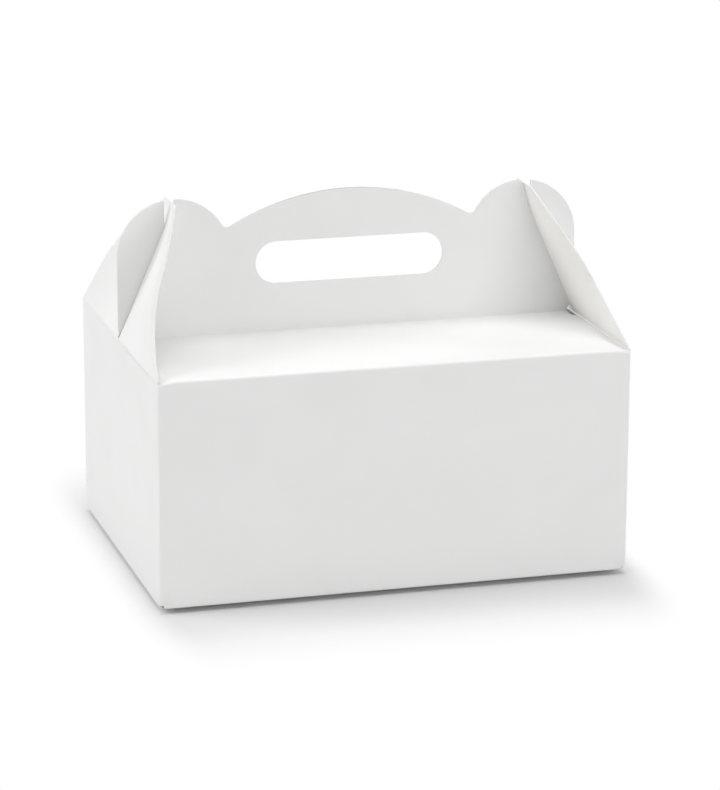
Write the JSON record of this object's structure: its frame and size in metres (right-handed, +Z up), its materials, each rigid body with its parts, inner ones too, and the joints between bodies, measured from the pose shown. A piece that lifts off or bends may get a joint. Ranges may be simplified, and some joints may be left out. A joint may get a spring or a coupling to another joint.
{
  "type": "cake box",
  "caption": "White card carry box for cakes: folded body with a double handle panel, round ears and slotted side flaps that hook over the ears.",
  "frame": {"origin": "middle of the base, on the surface that the box stands on", "axes": "+Z up, X along the handle and the long sides, -Y towards the front"},
  "size_m": [0.19, 0.14, 0.1479],
  "materials": {
    "card": "matt white coated folding board, about 350 g/m2"
  },
  "bodies": {
    "carton": {"carton": "card"},
    "left_flap": {"left_side_flap": "card"},
    "right_flap": {"right_side_flap": "card"}
  },
  "joints": [
    {"name": "left_flap_crease", "type": "hinge", "parent": "carton", "child": "left_flap", "pos_m": [-0.095, 0, 0.0925], "axis": [0, -1, 0], "range_deg": [0, 180]},
    {"name": "right_flap_crease", "type": "hinge", "parent": "carton", "child": "right_flap", "pos_m": [0.095, 0, 0.0925], "axis": [0, 1, 0], "range_deg": [0, 180]}
  ]
}
